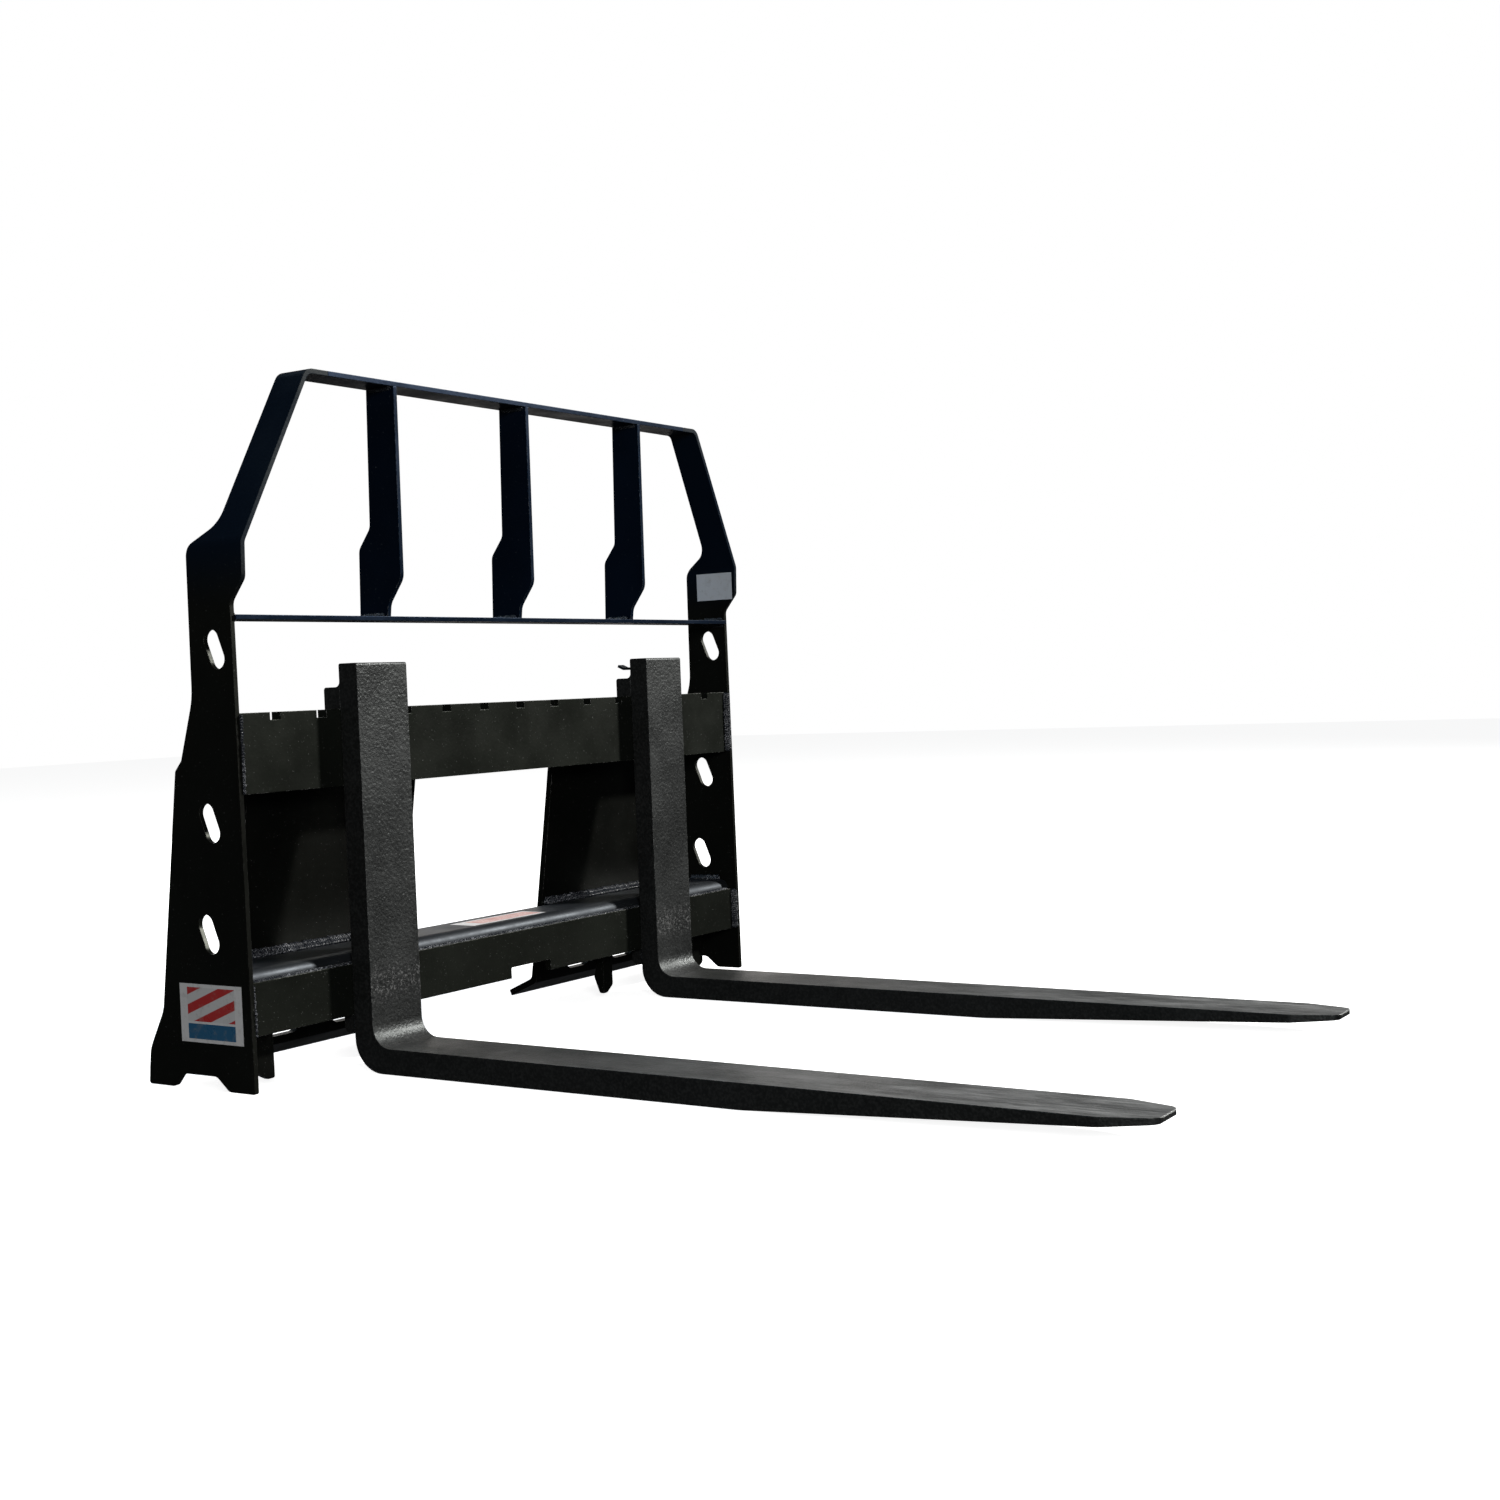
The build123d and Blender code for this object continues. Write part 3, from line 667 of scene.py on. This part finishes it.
def bracket_welds(material):
    """Beads where the small brackets' front edges meet the underside of the tube."""
    end_gap = 0.003
    beads = []
    for seed, place in enumerate(("inner", "outer"), start=80):
        for side in ("left", "right"):
            low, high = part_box(f"hitch_bracket_{place}_{side}")
            front = Vector((0, low.y, TUBE[0].z))
            beads.append(Bead(front + RIGHT * (low.x + end_gap), front + RIGHT * (high.x - end_gap),
                              -REAR, -UP, BRACKET_BEAD, seed))
    weld("weld_brackets", beads, material)


def hook_welds(side, material):
    """Beads round the lower hook of one fork: up both sides and along its underside."""
    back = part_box(f"fork_{side}")[1].y
    low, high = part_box(f"lower_hook_{side}")
    start_height = low.z + 0.002
    end_height = low.z + 0.024
    beads = []
    for x, direction, seed in ((low.x, -RIGHT, 90), (high.x, RIGHT, 92)):
        beads.append(Bead(Vector((x, back, start_height)), Vector((x, back, end_height)),
                          direction, REAR, HOOK_BEAD, seed))
    beads.append(Bead(Vector((low.x, back, low.z)), Vector((high.x, back, low.z)),
                      -UP, REAR, HOOK_BEAD, 94))
    weld(f"weld_lower_hook_{side}", beads, material, f"fork_{side}")


# ================================================================ stage, light, camera

def build_floor():
    """A pale glowing sheet, left out of reflections and of bounced light."""
    mesh = bpy.data.meshes.new("floor")
    far = FLOOR_REACH
    mesh.from_pydata([(-far, -far, 0), (far, -far, 0), (far, far, 0), (-far, far, 0)],
                     [], [(0, 1, 2, 3)])
    floor = bpy.data.objects.new("floor", mesh)
    bpy.context.scene.collection.objects.link(floor)
    n = Nodes("floor_paper")
    n.set_colour(n.mix(n.noise(0.6, 3.0, 0.5), grey(0.78), grey(0.82)))
    n.shader.inputs["Roughness"].default_value = 0.7
    n.shader.inputs["Emission Color"].default_value = grey(1.0)
    n.shader.inputs["Emission Strength"].default_value = FLOOR_GLOW
    mesh.materials.append(n.material)
    floor.visible_diffuse = False
    floor.visible_glossy = False


def area_light(name, place, size, power, colour=(1.0, 1.0, 1.0)):
    """A round lamp that faces the attachment."""
    data = bpy.data.lights.new(name, "AREA")
    data.shape = "DISK"
    data.size = size
    data.energy = power
    data.color = colour
    lamp = bpy.data.objects.new(name, data)
    lamp.location = place
    lamp.rotation_euler = (LIT_POINT - Vector(place)).to_track_quat("-Z", "Y").to_euler()
    bpy.context.scene.collection.objects.link(lamp)


def build_light():
    """A key at the front right, a fill at the front left, a cool sky above and two lamps behind."""
    area_light("key", (4.4, -3.2, 3.4), size=0.5, power=620.0, colour=(1.0, 0.985, 0.95))
    area_light("fill", (-3.4, -3.2, 1.6), size=1.2, power=110.0)
    area_light("sky", (-0.5, 1.5, 4.5), size=3.0, power=34.0, colour=(0.55, 0.78, 1.0))
    area_light("behind", (1.8, 4.6, 1.5), size=2.6, power=90.0)
    area_light("horizon", (6.0, 5.0, 1.8), size=3.5, power=30.0, colour=(1.0, 0.95, 0.9))


def build_surround():
    """A dim room for the light, seen as plain white by the camera."""
    world = bpy.data.worlds.new("studio")
    world.use_nodes = True
    tree = world.node_tree
    room = tree.nodes["Background"]
    room.inputs["Color"].default_value = (0.9, 0.95, 1.0, 1.0)
    room.inputs["Strength"].default_value = ROOM_LIGHT
    pale = tree.nodes.new("ShaderNodeBackground")
    pale.inputs["Color"].default_value = (1.0, 1.0, 1.0, 1.0)
    seen = tree.nodes.new("ShaderNodeLightPath").outputs["Is Camera Ray"]
    either = tree.nodes.new("ShaderNodeMixShader")
    tree.links.new(seen, either.inputs[0])
    tree.links.new(room.outputs[0], either.inputs[1])
    tree.links.new(pale.outputs[0], either.inputs[2])
    tree.links.new(either.outputs[0], tree.nodes["World Output"].inputs["Surface"])
    bpy.context.scene.world = world


def build_camera():
    """A camera at the photograph's viewing angle, placed from the rail's front."""
    forward = Vector((-math.sin(CAMERA_YAW) * math.cos(CAMERA_PITCH),
                      math.cos(CAMERA_YAW) * math.cos(CAMERA_PITCH),
                      math.sin(CAMERA_PITCH)))
    right = Vector((math.cos(CAMERA_YAW), math.sin(CAMERA_YAW), 0))
    up = right.cross(forward)
    across = math.cos(CAMERA_ROLL) * right + math.sin(CAMERA_ROLL) * up
    upright = -math.sin(CAMERA_ROLL) * right + math.cos(CAMERA_ROLL) * up
    turn = Matrix((across, upright, -forward)).transposed().to_4x4()
    data = bpy.data.cameras.new("camera")
    data.lens = CAMERA_LENS
    data.sensor_width = CAMERA_SENSOR
    data.clip_end = 60.0
    camera = bpy.data.objects.new("camera", data)
    place = CAMERA_FROM_RAIL + Vector((0, RAIL_FRONT_Y, 0))
    camera.matrix_world = Matrix.Translation(place) @ turn
    bpy.context.scene.collection.objects.link(camera)
    bpy.context.scene.camera = camera


def build():
    build_camera()
    build_light()
    build_surround()
    build_floor()
    colour_the_frame()
    colour_the_forks()
    colour_the_labels()
    bead_paint = weld_paint()
    rail_welds(bead_paint)
    low_bar_seam(bead_paint)
    hitch_welds(bead_paint)
    guard_welds(bead_paint)
    bracket_welds(bead_paint)
    for side in ("left", "right"):
        hook_welds(side, bead_paint)
    bpy.context.scene.view_settings.view_transform = "Standard"


build()
